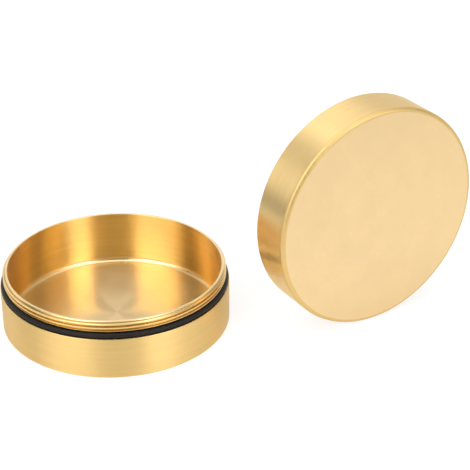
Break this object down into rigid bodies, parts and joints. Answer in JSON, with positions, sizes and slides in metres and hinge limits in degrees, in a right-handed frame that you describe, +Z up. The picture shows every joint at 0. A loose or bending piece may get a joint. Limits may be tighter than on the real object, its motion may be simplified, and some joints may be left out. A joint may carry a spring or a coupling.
{
  "type": "jewelry box",
  "caption": "Round turned-brass keepsake box with a screw lid and a rubber sealing ring at the foot of its threaded neck, shown open with the lid standing on its side.",
  "frame": {"origin": "centre of the base's flat underside, on the surface it stands on", "axes": "+Z up along the base's axis, +X towards the side where the lid stands, -Y the way the standing lid's top face looks"},
  "size_m": [0.1172, 0.0678, 0.06],
  "materials": {
    "base_brass": "satin, brushed round the band and turned bright inside",
    "seal_rubber": "smooth moulded black",
    "lid_brass": "satin flat top, brushed side"
  },
  "bodies": {
    "base": {"base_cup": "base_brass", "sealing_ring": "seal_rubber"},
    "lid": {"lid": "lid_brass"}
  },
  "joints": [
    {"name": "lid_lift", "type": "slide", "parent": "base", "child": "lid", "axis": [0, 0, 1], "range_m": [0, 0.06]}
  ]
}
